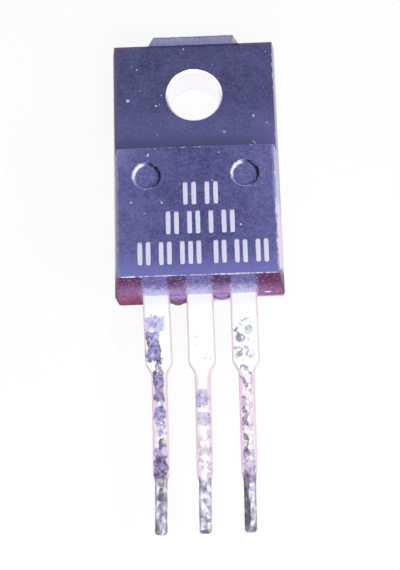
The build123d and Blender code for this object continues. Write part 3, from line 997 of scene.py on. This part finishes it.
@dataclass(frozen=True)
class Lead:
    """One lead, from its inner end in the body to its rounded, solder-dipped tip."""

    node: str
    centre: float
    back: float
    front: float
    inner_end: float
    body_end: float
    tip: float
    patches: tuple[Patch, ...]
    bow: float = 0.0  # sideways bend at mid length
    tilt: float = 0.0  # sideways shift of the tip
    grey: float = 0.3  # darkness of the dipped solder
    mauve: float = 0.0  # 0 for blue tarnish to 1 for purple
    flush: float = 0.0  # strength of the pink along the left edge of the pin
    root_width: float = 1.56
    root_length: float = 4.05
    shoulder: float = 0.5
    pin_width: float = 0.9
    neck: float = 0.4
    end_length: float = 2.95
    end_width: float = 0.68
    post_width: float = 1.56
    post_length: float = 1.3
    tip_radius: float = 0.17
    softness: float = 0.16
    post_step: float = 0.02  # over which the post gives way to the root
    stamped_radius: float = 0.045
    dipped_radius: float = 0.14
    stamped_lumps: float = 0.003  # height of the surface's lumps, stamped and dipped
    dipped_lumps: float = 0.016
    stamped_grain: float = 0.001
    dipped_grain: float = 0.005
    tip_roll: float = 0.16  # length over which the tip grows thinner
    tip_thinning: float = 0.35

    @property
    def length(self) -> float:
        """Length outside the body."""
        return self.body_end - self.tip

    @property
    def embedded(self) -> float:
        """Length inside the body."""
        return self.inner_end - self.body_end

    @property
    def dip_line(self) -> float:
        """Distance from the body's end at which the narrow, dipped end begins."""
        return self.length - self.end_length

    def half_width(self, along: np.ndarray) -> np.ndarray:
        """Half the lead's width at a distance from the body's end.

        Straight stretches joined at the post, the shoulders and the neck, averaged over a
        short length so the corners are soft, less the rounding of the tip's corners,
        r - sqrt(r^2 - t^2) at a distance t inside the last radius r.
        """
        post_end = self.post_length - self.embedded
        stations = [
            -self.embedded, post_end, post_end + self.post_step,
            self.root_length, self.root_length + self.shoulder,
            self.dip_line - self.neck, self.dip_line,
        ]
        widths = [
            self.post_width, self.post_width, self.root_width, self.root_width,
            self.pin_width, self.pin_width, self.end_width,
        ]
        spread = np.linspace(-self.softness, self.softness, 7)
        half = sum(np.interp(along + shift, stations, widths) for shift in spread) / 14
        inside = np.clip(along - (self.length - self.tip_radius), 0, self.tip_radius)
        return half - (self.tip_radius - np.sqrt(self.tip_radius**2 - inside**2))

    def sideways(self, along: np.ndarray) -> np.ndarray:
        """Shift of the slightly bent lead: one bow over its length, and a tilt to its tip."""
        share = np.clip(along / self.length, 0, 1)
        return self.bow * np.sin(np.pi * share) + self.tilt * share

    def stations(self) -> np.ndarray:
        """Distances of the rings from the body's end: coarse inside, fine where it shows."""
        post_end = self.post_length - self.embedded
        hidden = np.concatenate(
            [
                np.linspace(-self.embedded, post_end, 8),
                np.linspace(post_end + self.post_step, -0.3, 8),
            ]
        )
        shown = np.linspace(-0.2, self.length - self.tip_radius, 430)
        ending = self.length - self.tip_radius * (1 - np.sin(np.linspace(0, np.pi / 2, 9)[1:]))
        return np.concatenate([hidden, shown, ending])

    def section(self) -> tuple[np.ndarray, np.ndarray]:
        """Round the strip's section: sides of the core rectangle, and outward directions.

        Returns:
            Two arrays of points by x, z: the place on the core rectangle from -1 to 1, and
            the unit direction in which the corner radius is added.
        """
        wide, thin = np.linspace(-1, 1, 29)[1:-1], np.linspace(-1, 1, 6)[1:-1]
        turn = np.linspace(0, np.pi / 2, 5)
        corners = np.array([(-1, 1), (1, 1), (1, -1), (-1, -1), (-1, 1)], float)
        core, out = [], []
        for side, spread in enumerate((wide, thin, wide, thin)):
            start, stop = corners[side], corners[side + 1]
            angle = np.pi / 2 - side * np.pi / 2
            core += [(start + stop) / 2 + np.outer(spread, (stop - start) / 2),
                     np.tile(stop, (len(turn), 1))]
            out += [np.tile((np.cos(angle), np.sin(angle)), (len(spread), 1)),
                    np.stack([np.cos(angle - turn), np.sin(angle - turn)], -1)]
        return np.vstack(core), np.vstack(out)

    def add_to(self, skin: Skin) -> None:
        """Adds the lead's surface to a skin.

        Each ring is the strip's rounded section: the core rectangle, less the corner
        radius, plus that radius along the outward direction. The radius grows and the
        surface swells in soft lumps where the lead was dipped in solder.

        Args:
            skin: the mesh that takes the surface.
        """
        along = self.stations()[:, None]
        core, out = self.section()
        dipped = smooth(along, self.dip_line - self.neck, self.dip_line + 0.3)
        half_width = self.half_width(along)
        radius = blend(self.stamped_radius, self.dipped_radius, dipped)
        radius = np.minimum(radius, 0.9 * half_width)
        ending = self.tip_thinning * smooth(along, self.length - self.tip_roll, self.length)
        half_thickness = (self.front - self.back) / 2 * (1 - ending)
        x = core[:, 0] * (half_width - radius) + out[:, 0] * radius
        z = core[:, 1] * (half_thickness - radius) + out[:, 1] * radius
        y = self.body_end - along + np.zeros_like(x)
        place = np.stack([self.centre + x, y, (self.front + self.back) / 2 + z], -1)
        lumps = RandomField(Seed.SOLDER_LUMPS).layered(place * (1.0, 0.6, 1.0), 3.0)
        grain = RandomField(Seed.SOLDER_GRAIN).layered(place, 9.0, layers=2)
        shown = smooth(along, 0.0, 0.4) * smooth(self.length - along, 0.02, 0.2)
        swell = shown * (
            blend(self.stamped_lumps, self.dipped_lumps, dipped) * lumps
            + blend(self.stamped_grain, self.dipped_grain, dipped) * grain
        )
        place[..., 0] += out[:, 0] * swell + self.sideways(along)
        place[..., 2] += out[:, 1] * swell
        skin.add(place, **self.values(along + 0 * x, x, out[:, 1] + 0 * x, place))

    def values(
        self, along: np.ndarray, aside: np.ndarray, up: np.ndarray, place: np.ndarray
    ) -> dict[str, np.ndarray]:
        """What the finish reads from the mesh.

        Args:
            along: distance of each point from the body's end.
            aside: distance of each point from the centre line, positive to the right.
            up: how far each point faces the front, from -1 to 1.
            place: the points.

        Returns:
            Values named as the finish reads them, from 0 to 1.
        """
        wander = RandomField(Seed.TARNISH_ALONG).layered(place, 1.7)
        drift = RandomField(Seed.TARNISH_ASIDE).layered(place, 2.3)
        shares = [patch.weight(along + 0.06 * wander, aside + 0.035 * drift)
                  for patch in self.patches]
        weights = np.stack([share * p.cover for share, p in zip(shares, self.patches)])
        crazed = np.max([share * p.crazed for share, p in zip(shares, self.patches)], axis=0)
        tones = np.array([patch.tone for patch in self.patches])[:, None, None]
        total = (weights**2).sum(0)
        tone = (weights**2 * tones).sum(0) / np.maximum(total, 1e-6)
        dull = smooth(along + 0.25 * wander, self.dip_line - 0.35, self.dip_line + 0.15)
        behind = smooth(-up, 0.2, 0.8)
        cover = weights.max(0) * (1 - behind) + behind * (0.3 + 0.15 * wander)
        tone = np.where(total > 1e-3, tone, 0.4 + 0.2 * wander)
        tone = tone * (1 - dull) + dull * np.maximum(tone * (cover > 0.45), self.grey)
        half = self.half_width(along)
        edge = smooth(np.abs(aside), half - 0.15, half - 0.02)
        glow = 0.4 * smooth(np.abs(aside), half - 0.3, half - 0.12)
        glow += 0.22 * smooth(np.abs(aside), half - 0.5, half - 0.15)
        glow += self.flush * smooth(-aside, half - 0.36, half - 0.06)
        glow *= smooth(along, 4.2, 5.2)
        fade = smooth(self.dip_line - along, -0.1, 0.1)
        return {
            "cover": np.clip(cover, 0, 1), "tone": np.clip(tone, 0, 1), "dull": dull,
            "edge": edge, "blush": glow * fade * (1 + 0.4 * wander),
            "calm": np.zeros_like(along), "mauve": self.mauve * smooth(along, 3.0, 4.5),
            "crazed": crazed * (1 - behind),
        }


@dataclass(frozen=True)
class Header:
    """Flat header that carries the die, with the hole's clearance and the exposed tab."""

    low: float
    high: float
    half_width: float
    back: float
    front: float
    tab_foot: float
    tab_tip: float
    hole_radius: float = 2.3
    tab_half_width: float = 3.0
    tab_tip_half_width: float = 2.45
    corner: float = 0.5
    roll: float = 0.09  # rounding of the sheared front edge
    shear_depth: float = 0.012  # how far the sheared edge stands back and is rough

    def outline(self) -> np.ndarray:
        """Outline seen from the front, anticlockwise from the middle of the lower edge.

        Straight runs between corners and quarter circles of the corner radius at the
        header's four corners, read at even distances, and closer along the tab.
        """
        arc = np.linspace(0, np.pi / 2, 7)
        c, w, low, high = self.corner, self.half_width, self.low, self.high

        def round_corner(x: float, y: float, start: float) -> np.ndarray:
            """Quarter circle round x, y from the start angle."""
            return np.stack([x + c * np.cos(start + arc), y + c * np.sin(start + arc)], -1)

        foot, tip = self.tab_foot, self.tab_tip
        right = np.vstack(
            [
                [(0, low)], round_corner(w - c, low + c, -np.pi / 2),
                round_corner(w - c, high - c, 0),
                [(self.tab_half_width, high), (self.tab_half_width, foot),
                 (self.tab_tip_half_width, tip), (0, tip)],
            ]
        )
        left = right[-2:0:-1] * (-1, 1)
        points = np.vstack([right, left, right[:1]])
        steps = np.linalg.norm(np.diff(points, axis=0), axis=1)
        gone = np.concatenate([[0], np.cumsum(steps)])
        tab_start = gone[len(right) - 4]
        tab_stop = gone[-1] - tab_start
        total = gone[-1]
        even = np.concatenate(
            [
                np.linspace(0, tab_start, 90, endpoint=False),
                np.linspace(tab_start, tab_stop, 190, endpoint=False),
                np.linspace(tab_stop, total, 90, endpoint=False),
            ]
        )
        return np.stack([np.interp(even, gone, points[:, n]) for n in (0, 1)], -1)

    def add_to(self, skin: Skin) -> None:
        """Adds the header and tab to a skin.

        A closed section is carried round the outline: along the front from the hole to the
        edge, over the rolled edge, down the sheared wall, and back along the rear to the
        hole. A point at share a lies at hole + a (outline - hole), both at one angle.

        Args:
            skin: the mesh that takes the surface.
        """
        outline = self.outline()
        reach = np.linalg.norm(outline, axis=1, keepdims=True)
        direction = outline / reach
        turn = np.linspace(0, np.pi / 2, 6)
        flat = np.linspace(0, 1, 16)[:-1] ** 0.7
        roll = self.roll
        inset_front = np.concatenate([[0.0] * len(flat), roll * (1 - np.sin(turn))])
        share_front = np.concatenate([flat, np.ones(len(turn))])
        height_front = np.concatenate(
            [np.full(len(flat), self.front), self.front - roll * (1 - np.cos(turn))]
        )
        share = np.concatenate([share_front, np.ones(4), flat[::-1][:-1], [0.0]])
        inset = np.concatenate([inset_front, [0.0] * 4, [0.0] * len(flat)])
        wall = np.linspace(self.front - roll, self.back, 6)[1:-1]
        height = np.concatenate([height_front, wall[:4], np.full(len(flat), self.back)])
        span = reach - self.hole_radius
        distance = self.hole_radius + share * span - inset
        rings = np.stack(
            [direction[:, :1] * distance, direction[:, 1:] * distance,
             np.broadcast_to(height, distance.shape)], -1,
        )
        on_tab = smooth(rings[..., 1], self.high, self.tab_foot)
        rough = RandomField(Seed.SHEARED_TAB).layered(rings, 4.0) * on_tab
        at_edge = (share > 0.99) * 1.0
        inward = self.shear_depth * (1 + rough * at_edge) * at_edge
        rings[..., :2] -= direction[:, None, :] * inward[..., None]
        rings[..., 2] += self.shear_depth / 2 * rough * (height == self.front)
        self.add_dressed(skin, rings)

    def add_dressed(self, skin: Skin, rings: np.ndarray) -> None:
        """Adds the rings with what the finish reads: a darker, even film on the tab alone,
        darker still along its tip, with painted shade darkening its left corner slope, the unlit
        side, and painted light leaving its right one bare and pink."""
        x, y = rings[..., 0], rings[..., 1]
        on_tab = smooth(y, self.high, self.tab_foot)
        tip_line = smooth(y, self.tab_tip - 0.22, self.tab_tip - 0.05)
        wander = RandomField(Seed.TAB_TONE).layered(rings, 1.5)
        slope = smooth(np.abs(x), self.tab_tip_half_width - 0.06, self.tab_tip_half_width + 0.06)
        # painted light and shade: the tab's right corner slope is left bare and pink, as lit, and
        # its left one darker, as unlit
        pale, dark = slope * (x > 0), slope * (x < 0)
        tone = 0.28 + 0.06 * wander + 0.26 * tip_line + 0.1 * dark
        none = np.zeros_like(tone)
        skin.add(
            rings, looped=True, cover=np.clip(on_tab * (1 - pale), 0, 1),
            tone=np.clip(tone, 0, 1), dull=none, edge=none, blush=0.8 * pale, calm=on_tab,
            mauve=none, crazed=none,
        )


def bead(
    centre: tuple[float, float, float], half: tuple[float, float], height: float,
    power: float, ragged: float, seed: int, around: int = 48, along: int = 9,
) -> np.ndarray:
    """Flattened closed bead: an ink stroke or a speck of dust lying on a face.

    The outline is the superellipse |x/a|^p + |y/b|^p = 1 with a ragged border. Rings run
    from its middle over the top to the border, with height h (1 - t^4) at share t of the
    outline, and back under the face to the middle.

    Args:
        centre: place on the face.
        half: half the length and breadth, a and b.
        height: height h above the face.
        power: p, 2 for an ellipse and more for a squarer outline.
        ragged: how far the border wanders, as a share of its distance.
        seed: seed of the border's wandering.
        around: points round the outline.
        along: rings on the top.

    Returns:
        Rings by points by x, y, z.
    """
    angle = np.linspace(0, 2 * np.pi, around, endpoint=False)
    unit = np.stack([np.cos(angle), np.sin(angle)], -1)
    reach = 1 / (np.abs(unit[:, 0]) ** power + np.abs(unit[:, 1]) ** power) ** (1 / power)
    border = unit * reach[:, None] * half
    place = np.column_stack([border, np.full(around, float(seed))])
    border *= 1 + ragged * RandomField(Seed.RAGGED_BORDER).layered(place, 4.0)[:, None]
    top = np.linspace(0.12, 1, along)
    share = np.concatenate([top, top[-2::-2]])
    lift = np.concatenate([height * (1 - top**4), np.full(len(top[-2::-2]), -0.01)])
    rings = np.zeros((len(share), around, 3))
    rings[..., :2] = share[:, None, None] * border + centre[:2]
    rings[..., 2] = centre[2] + lift[:, None]
    return rings


@dataclass(frozen=True)
class MarkRow:
    """One row of plain bars: its place, and how many strokes each mark has."""

    left: float
    right: float
    middle: float
    strokes: tuple[int, ...]


@dataclass(frozen=True)
class Marking:
    """Plain bars printed on the block, three rows of them, that spell nothing."""

    face: float
    rows: tuple[MarkRow, ...] = (
        MarkRow(-0.77, 1.25, -6.97, (2, 2)),
        MarkRow(-1.79, 2.16, -8.76, (2, 2, 1, 2)),
        MarkRow(-3.43, 0.2, -10.6, (2, 2, 3)),
        MarkRow(0.9, 4.03, -10.6, (2, 2, 2)),
    )
    stroke: float = 0.27
    height: float = 1.42
    mark_gap: float = 0.27
    ink_height: float = 0.008

    def build(self) -> bpy.types.Object:
        """Prints the bars: a row's strokes share its width, less the gaps between marks."""
        skin = Skin("marking_bars")
        seed = 0
        for row in self.rows:
            count = sum(row.strokes)
            room = row.right - row.left - self.stroke - self.mark_gap * (len(row.strokes) - 1)
            pitch = room / (count - 1)
            x = row.left + self.stroke / 2
            for mark in row.strokes:
                for _ in range(mark):
                    centre = (x, row.middle, self.face)
                    half = (self.stroke / 2, self.height / 2)
                    skin.add(bead(centre, half, self.ink_height, 7.0, 0.03, seed, around=96))
                    seed += 1
                    x += pitch
                x += self.mark_gap
        return skin.write(MarkingInk().material(), Slot.EPOXY)


@dataclass(frozen=True)
class Ribbon:
    """Worn stretch of one edge of the moulding."""

    start: tuple[float, float, float]
    end: tuple[float, float, float]
    face_a: tuple[float, float, float]
    face_b: tuple[float, float, float]
    width: float
    wear: float  # 0 hardly any to 1 worn all along
    seed: int
    spacing: float = 0.025  # of the rings
    rough: float = 0.014
    proudest: float = 0.012  # limits of what stands out or lies under, and its thickness
    lowest: float = 0.004
    sunk: float = 0.012

    def rings(self, radius: float) -> np.ndarray:
        """Surface of the worn stretch.

        It follows the broken edge: along face a, round the edge's radius, and along face
        b. It stands proud by a random height, less where it nears its borders, and where
        that is negative it lies under the moulding, so what shows has a ragged outline.

        Args:
            radius: radius of the broken edge.

        Returns:
            Rings along the edge by points round the ribbon by x, y, z.
        """
        start, end = np.array(self.start), np.array(self.end)
        a, b = (np.array(v) / np.linalg.norm(v) for v in (self.face_a, self.face_b))
        line = (end - start) / np.linalg.norm(end - start)
        count = int(np.linalg.norm(end - start) / self.spacing)
        path = start + np.linspace(0, 1, count)[:, None] * (end - start)
        opening = np.arccos(np.clip(a @ b, -1, 1))
        sweep = np.linspace(0, opening, 7)[:, None]
        turn = (np.sin(opening - sweep) * a + np.sin(sweep) * b) / np.sin(opening)
        along_a = np.cross(line, a) * np.sign(np.cross(line, a) @ -b)
        along_b = np.cross(line, b) * np.sign(np.cross(line, b) @ -a)
        flat = np.linspace(self.width, 0, 5)[:-1, None]
        centre = -(a + b) * radius / (1 + a @ b)
        profile = np.vstack(
            [centre + radius * a + flat * along_a, centre + radius * turn,
             centre + radius * b + flat[::-1] * along_b]
        )
        normal = np.vstack([np.tile(a, (4, 1)), turn, np.tile(b, (4, 1))])
        place = path[:, None, :] + profile
        share = np.linspace(-1, 1, len(profile))
        noise = RandomField(self.seed).layered(place, 3.4, layers=4)
        fade = np.minimum(np.linspace(0, 8, count), np.linspace(8, 0, count)).clip(0, 1)
        lift = self.rough * (noise + 2 * self.wear - 1 - 1.1 * share**2) * fade[:, None]
        lift = np.clip(lift, -self.lowest, self.proudest) - self.lowest * (1 - fade[:, None])
        outer = place + lift[..., None] * normal
        inner = place - self.sunk * normal
        return np.concatenate([outer, inner[:, ::-1]], axis=1)


@dataclass(frozen=True)
class WornEdges:
    """Chalky, broken line along the moulding's front edges."""

    body_width: float
    plate_front: float
    block_front: float
    parting: float
    lead_end: float
    tab_end: float
    step: float
    draft: float = radians(7.0)
    edge_radius: float = 0.07
    corner: float = 0.2
    worn_up_to: float = -7.2  # upper end of the badly worn stretch on the right
    sound_from: float = -6.9

    def build(self) -> bpy.types.Object:
        """Lays the ribbons along the edges, whose sharp lines follow from the draft."""
        slope = np.tan(self.draft)
        block_in = slope * (self.block_front - self.parting)
        plate_in = slope * (self.plate_front - self.parting)
        side_block, side_plate = self.body_width / 2 - block_in, self.body_width / 2 - plate_in
        low = self.lead_end + block_in
        up = (0.0, 0.0, 1.0)
        c, s = cos(self.draft), sin(self.draft)
        top, plate, step, corner = self.block_front, self.plate_front, self.step, self.corner
        ribbons = (
            Ribbon((-side_block + corner, low, top), (side_block - corner, low, top),
                   up, (0, -c, s), 0.0, 0.6, Seed.LEAD_EDGE),
            Ribbon((side_block, low + corner, top), (side_block, self.worn_up_to, top),
                   up, (c, 0, s), 0.04, 0.68, Seed.RIGHT_LOW_EDGE),
            Ribbon((side_block, self.sound_from, top), (side_block, step - 0.05, top),
                   up, (c, 0, s), 0.0, 0.36, Seed.RIGHT_HIGH_EDGE),
            Ribbon((-side_block, low + corner, top), (-side_block, step - 0.05, top),
                   up, (-c, 0, s), 0.0, 0.16, Seed.LEFT_EDGE),
            Ribbon((side_plate, step + 0.4, plate), (side_plate, self.tab_end - 0.5, plate),
                   up, (c, 0, s), 0.0, 0.25, Seed.PLATE_EDGE),
            Ribbon((-side_block + 0.05, step, top), (side_block - 0.05, step, top),
                   up, (0, c, s), 0.0, 0.16, Seed.STEP_EDGE),
            Ribbon((-0.9, step, top), (0.5, step, top),
                   up, (0, c, s), 0.04, 0.6, Seed.STEP_CHIP),
        )
        skin = Skin("worn_edges")
        for ribbon in ribbons:
            skin.add(ribbon.rings(self.edge_radius))
        return skin.write(WornEpoxy().material(), Slot.EPOXY)


@dataclass(frozen=True)
class Speck:
    """One speck of dust or chip: place, half length, half breadth and turn in degrees."""

    x: float
    y: float
    length: float
    breadth: float
    turn: float = 0.0


@dataclass(frozen=True)
class Dust:
    """Specks that lie on the plate and the block, the large ones placed and the rest strewn."""

    plate_front: float
    block_front: float
    on_plate: tuple[Speck, ...] = (
        Speck(-4.0, -0.25, 0.1, 0.1), Speck(1.75, -2.5, 0.1, 0.1),
        Speck(3.5, -1.5, 0.1, 0.06, 80.0), Speck(3.5, -3.25, 0.2, 0.03, -50.0),
    )
    on_block: tuple[Speck, ...] = (
        Speck(-2.0, -7.5, 0.1, 0.05, 110.0), Speck(-2.75, -4.5, 0.1, 0.05, 60.0),
        Speck(2.5, -9.0, 0.07, 0.06), Speck(-3.25, -10.0, 0.06, 0.05),
    )
    strewn: int = 30
    half_width: float = 4.4  # of the strewn area
    plate_span: tuple[float, float] = (-3.9, 3.1)
    block_span: tuple[float, float] = (-11.8, -4.3)
    hole_clearance: float = 1.8
    finest: float = 0.012
    spread_of_sizes: float = 0.05
    bright: Colour = (240, 238, 252)

    def build(self) -> bpy.types.Object:
        """Lays every speck as a flattened bead on its face."""
        chance = np.random.default_rng(Seed.STREWN_DUST)
        skin = Skin("dust_specks")
        faces = ((self.on_plate, self.plate_front, self.plate_span),
                 (self.on_block, self.block_front, self.block_span))
        for specks, face, (low, high) in faces:
            spread = chance.uniform(
                (-self.half_width, low), (self.half_width, high), (self.strewn, 2)
            )
            spread = spread[np.linalg.norm(spread, axis=1) > self.hole_clearance]
            share = chance.uniform(0, 1, len(spread)) ** 3
            sizes = self.finest + self.spread_of_sizes * share
            small = [Speck(x, y, size, 0.8 * size) for (x, y), size in zip(spread, sizes)]
            for number, speck in enumerate((*specks, *small)):
                half = (speck.length, speck.breadth)
                rings = bead((0, 0, 0), half, 0.3 * speck.breadth, 2.0, 0.3, number, 14, 5)
                angle = radians(speck.turn)
                turn = np.array([[cos(angle), sin(angle), 0], [-sin(angle), cos(angle), 0],
                                 [0, 0, 1]])
                skin.add(rings @ turn + (speck.x, speck.y, face))
        return skin.write(WornEpoxy(bright=self.bright).material(), Slot.EPOXY)


@dataclass(frozen=True)
class Softbox:
    """One square lamp: its place from the aim point, its side, and the brightness that it
    gives to a white face turned to it."""

    name: str
    place: tuple[float, float, float]
    size: float
    level: float


@dataclass(frozen=True)
class Studio:
    """Pale floor, even light, three softboxes and the camera above the part."""

    aim: tuple[float, float, float] = (0.033, -11.838, 2.0)
    distance: float = 86.6
    tilt: float = 18.96  # degrees from straight down towards the leads' end
    yaw: float = 1.1
    roll: float = -1.56
    lens: float = 94.47
    floor_size: float = 600.0
    ambient: float = 0.25
    shadow_share: float = 0.12
    softboxes: tuple[Softbox, ...] = (
        Softbox("key_light", (88.0, -42.0, 62.0), 45.0, 0.36),
        Softbox("front_light", (10.0, -80.0, 70.0), 60.0, 0.5),
        Softbox("top_light", (-20.0, 0.0, 120.0), 120.0, 0.23),
    )

    def background(self, tree: bpy.types.NodeTree) -> bpy.types.NodeSocket:
        """1 for camera, mirror and glass rays, and 0 for the light that falls on things."""
        rays = tree.nodes.new("ShaderNodeLightPath").outputs
        result = rays["Is Camera Ray"]
        for name in ("Is Glossy Ray", "Is Transmission Ray"):
            both = tree.nodes.new("ShaderNodeMath")
            both.operation = "MAXIMUM"
            tree.links.new(result, both.inputs[0])
            tree.links.new(rays[name], both.inputs[1])
            result = both.outputs[0]
        return result

    def build_world(self) -> None:
        """Even white light from all round, full white where it is seen."""
        world = bpy.data.worlds.new("studio_world")
        bpy.context.scene.world = world
        world.use_nodes = True
        tree = world.node_tree
        strength = tree.nodes.new("ShaderNodeMapRange")
        tree.links.new(self.background(tree), strength.inputs["Value"])
        strength.inputs["To Min"].default_value = self.ambient
        strength.inputs["To Max"].default_value = 1.0
        light = tree.nodes["Background"]
        light.inputs["Color"].default_value = (1, 1, 1, 1)
        tree.links.new(strength.outputs["Result"], light.inputs["Strength"])

    def build_floor(self) -> None:
        """Plain floor, white where it is seen, with a light shadow of the part."""
        half = self.floor_size / 2 * MM
        mesh = bpy.data.meshes.new("floor")
        corners = [(-half, -half, 0), (half, -half, 0), (half, half, 0), (-half, half, 0)]
        mesh.from_pydata(corners, [], [(0, 1, 2, 3)])
        floor = bpy.data.objects.new("floor", mesh)
        bpy.context.scene.collection.objects.link(floor)
        material = bpy.data.materials.new("studio_floor")
        material.use_nodes = True
        tree = material.node_tree
        tree.nodes.clear()
        plain, seen = (tree.nodes.new("ShaderNodeBsdfDiffuse") for _ in range(2))
        plain.inputs["Color"].default_value = (0.8, 0.8, 0.8, 1)
        share = self.shadow_share
        seen.inputs["Color"].default_value = (share, share, share, 1)
        glow = tree.nodes.new("ShaderNodeEmission")
        glow.inputs["Strength"].default_value = 1 - 0.92 * share
        both = tree.nodes.new("ShaderNodeAddShader")
        tree.links.new(seen.outputs[0], both.inputs[0])
        tree.links.new(glow.outputs[0], both.inputs[1])
        pick = tree.nodes.new("ShaderNodeMixShader")
        tree.links.new(self.background(tree), pick.inputs[0])
        tree.links.new(plain.outputs[0], pick.inputs[1])
        tree.links.new(both.outputs[0], pick.inputs[2])
        out = tree.nodes.new("ShaderNodeOutputMaterial")
        tree.links.new(pick.outputs[0], out.inputs[0])
        mesh.materials.append(material)

    def add_softbox(self, softbox: Softbox) -> None:
        """Adds a square lamp aimed at the part."""
        data = bpy.data.lights.new(softbox.name, "AREA")
        data.size = softbox.size * MM
        offset = np.array(softbox.place)
        reach = np.linalg.norm(offset) * MM
        data.energy = softbox.level * np.pi**2 * reach**2
        lamp = bpy.data.objects.new(softbox.name, data)
        bpy.context.scene.collection.objects.link(lamp)
        lamp.location = Vector((offset + self.aim) * MM)
        lamp.rotation_mode = "QUATERNION"
        lamp.rotation_quaternion = Vector(offset).to_track_quat("Z", "Y")

    def build_camera(self) -> None:
        """Camera at a distance from the aim point, looking down along the part."""
        tilt, yaw, roll = (radians(v) for v in (self.tilt, self.yaw, self.roll))
        back = Vector((sin(yaw) * cos(tilt), -sin(tilt), cos(yaw) * cos(tilt)))
        level = Vector((0, 1, 0)).cross(back).normalized()
        above = back.cross(level)
        right = level * cos(roll) + above * sin(roll)
        up = above * cos(roll) - level * sin(roll)
        data = bpy.data.cameras.new("camera")
        data.lens = self.lens
        data.clip_start, data.clip_end = 0.005, 10.0
        camera = bpy.data.objects.new("camera", data)
        bpy.context.scene.collection.objects.link(camera)
        camera.matrix_world = Matrix.Translation(
            (Vector(self.aim) + back * self.distance) * MM
        ) @ Matrix((right, up, back)).transposed().to_4x4()
        bpy.context.scene.camera = camera

    def build(self) -> None:
        """Builds the whole studio."""
        self.build_world()
        self.build_floor()
        for softbox in self.softboxes:
            self.add_softbox(softbox)
        self.build_camera()
        bpy.context.scene.view_settings.view_transform = "Standard"


@dataclass
class Transistor:
    """The whole part: what the CAD nodes are dressed with and the pieces added to them."""

    nodes: dict[str, bpy.types.Object] = field(default_factory=lambda: frame["nodes"])
    plate_front: float = 2.7
    parting: float = 1.3
    step: float = -4.05
    top_cover: float = 0.55
    lead_length: float = 13.8
    lead_embedding: float = 3.05
    strip_overlap: float = 0.5  # how far the middle lead runs on into the header

    def __post_init__(self) -> None:
        """Reads the places of the body and the leads from the frame."""
        self.body_low, self.body_high = node_box("body_moulding")
        self.frame_low, self.frame_high = node_box("collector_frame")
        self.lead_low, self.lead_high = node_box("base_lead")
        self.lead_end = self.lead_low[1] + self.lead_length
        self.pitch = -(self.lead_low[0] + self.lead_high[0]) / 2
        self.body_width = self.body_high[0] - self.body_low[0]

    def dress(self, node: str, material: bpy.types.Material) -> None:
        """Gives a CAD node its finish."""
        mesh = self.nodes[node].data
        mesh.materials.clear()
        mesh.materials.append(material)
        log.info("%s: dressed in %s", node, material.name)

    def dress_body(self) -> None:
        """Dresses the moulding, and lays its worn edges, print and dust."""
        sizes = {
            "body_width": self.body_width, "plate_front": self.plate_front,
            "block_front": self.body_high[2], "parting": self.parting,
            "lead_end": self.lead_end, "tab_end": self.body_high[1], "step": self.step,
        }
        self.dress("body_moulding", MouldedEpoxy(lead_pitch=self.pitch, **sizes).material())
        WornEdges(**sizes).build()
        Marking(face=self.body_high[2]).build()
        Dust(plate_front=self.plate_front, block_front=self.body_high[2]).build()

    def build_leads(self) -> None:
        """Builds the two side leads and the collector frame, each in place of its node."""
        finish = TinnedCopper().material()
        common = {
            "back": self.lead_low[2], "front": self.lead_high[2],
            "body_end": self.lead_end, "tip": self.lead_low[1],
        }
        side = {
            "inner_end": self.lead_high[1], "post_width": self.lead_high[0] - self.lead_low[0],
        }
        base = Lead(
            node="base_lead", centre=-self.pitch, patches=BASE_TARNISH,
            bow=0.1, tilt=0.05, grey=0.45, mauve=0.35, flush=0.3, **side, **common,
        )
        emitter = Lead(
            node="emitter_lead", centre=self.pitch, patches=EMITTER_TARNISH,
            bow=0.03, tilt=-0.07, grey=0.25, mauve=0.65, flush=0.6, **side, **common,
        )
        for lead in (base, emitter):
            skin = Skin(lead.node + "_tinned")
            lead.add_to(skin)
            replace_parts(skin.write(finish, Slot.TINNED), lead.node)
        skin = Skin("collector_frame_tinned")
        header_low = self.lead_end + self.lead_embedding
        body_top = self.body_high[1]
        header = Header(
            low=header_low, high=body_top - self.top_cover, half_width=self.frame_high[0],
            back=self.frame_low[2], front=self.frame_high[2], tab_foot=body_top,
            tab_tip=self.frame_high[1],
        )
        collector = Lead(
            node="collector_frame", centre=0.0, patches=COLLECTOR_TARNISH,
            inner_end=header_low + self.strip_overlap,
            bow=0.05, tilt=-0.03, grey=0.02, mauve=0.75, **common,
        )
        header.add_to(skin)
        collector.add_to(skin)
        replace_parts(skin.write(finish, Slot.TINNED), collector.node)

    def dress_inside(self) -> None:
        """Dresses the die, its solder and the bond wires, which the body encloses."""
        for node, finish in HIDDEN_FINISHES.items():
            self.dress(node, finish.material())
        wire = DRAWN_ALUMINIUM.material()
        for node in ("base_bond_wire", "emitter_bond_wire"):
            self.dress(node, wire)

    def build(self) -> None:
        """Builds and dresses everything, outside first."""
        self.dress_body()
        self.build_leads()
        self.dress_inside()


def main() -> None:
    """Builds the part and its studio in order."""
    logging.basicConfig(level=logging.INFO, format="%(name)s: %(message)s")
    Transistor().build()
    Studio().build()


if __name__ == "__main__":
    main()
